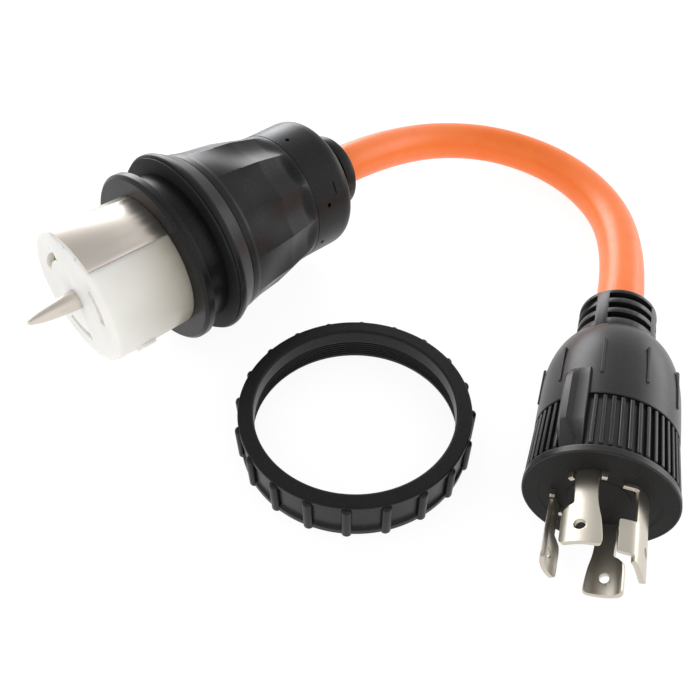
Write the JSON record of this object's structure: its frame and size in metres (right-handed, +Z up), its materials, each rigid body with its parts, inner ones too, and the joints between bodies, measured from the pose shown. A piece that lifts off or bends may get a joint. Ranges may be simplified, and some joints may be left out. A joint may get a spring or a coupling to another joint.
{
  "type": "power adapter lead",
  "caption": "Short power adapter lead with a round locking connector, a thick orange cord, a four-blade locking plug and a loose ribbed locking ring.",
  "frame": {"origin": "middle of the locking ring's underside, on the surface that everything lies on", "axes": "+Z up; +Y away from the viewer, from the plug's blades toward the bend of the cord; +X to the right, from the connector toward the plug"},
  "size_m": [0.251, 0.264, 0.0753],
  "materials": {
    "nylon": "milky, slightly translucent, satin",
    "nickel": "satin nickel plate",
    "brass": "satin",
    "dark_moulding": "matt",
    "zinc_screw": "zinc plated",
    "brass_screw": "satin",
    "housing": "satin moulded nylon",
    "seal_rubber": "matt",
    "gland_moulding": "satin",
    "wire_black": "satin vinyl",
    "wire_red": "satin vinyl",
    "wire_white": "satin vinyl",
    "wire_green": "satin vinyl",
    "cord_jacket": "glossy orange vinyl",
    "plug_vinyl": "soft satin vinyl",
    "face_moulding": "matt",
    "ring_moulding": "satin moulded nylon"
  },
  "bodies": {
    "adapter": {"nose": "nylon", "ground_strip": "nickel", "centre_pin": "nickel", "contact_line_1": "brass", "contact_line_2": "brass", "contact_neutral": "brass", "contact_carrier": "dark_moulding", "carrier_screws": "zinc_screw", "connector_terminal_screws": "brass_screw", "front_flange": "housing", "flange_seal": "seal_rubber", "stop_flange": "housing", "grip_body": "housing", "grip_bush": "seal_rubber", "connector_wire_line_1": "wire_black", "connector_wire_line_2": "wire_red", "connector_wire_neutral": "wire_white", "connector_wire_ground": "wire_green", "cord": "cord_jacket", "plug_shell": "plug_vinyl", "plug_face": "face_moulding", "plug_core": "dark_moulding", "blade_line_1": "nickel", "blade_line_2": "nickel", "blade_neutral": "nickel", "blade_ground": "nickel", "plug_terminals": "brass", "plug_terminal_screws": "brass_screw", "plug_wire_line_1": "wire_black", "plug_wire_line_2": "wire_red", "plug_wire_neutral": "wire_white", "plug_wire_ground": "wire_green", "cord_sleeve": "plug_vinyl"},
    "clamp_nut": {"clamp_nut": "housing"},
    "gland": {"gland": "gland_moulding"},
    "locking_ring": {"locking_ring": "ring_moulding"}
  },
  "joints": [
    {"name": "clamp_nut_turn", "type": "hinge", "parent": "adapter", "child": "clamp_nut", "pos_m": [-0.02795, 0.10616, 0.03394], "axis": [0.6936, 0.7182, -0.0558], "range_deg": [0, 360]},
    {"name": "gland_slide", "type": "slide", "parent": "adapter", "child": "gland", "axis": [0.6936, 0.7182, -0.0558], "range_m": [0, 0.002]},
    {"name": "locking_ring_lift", "type": "slide", "parent": "adapter", "child": "locking_ring", "axis": [0, 0, 1], "range_m": [0, 0.1]}
  ],
  "couplings": [
    {"joint": "gland_slide", "follows": "clamp_nut_turn", "m_per_rad": 0.000318}
  ]
}
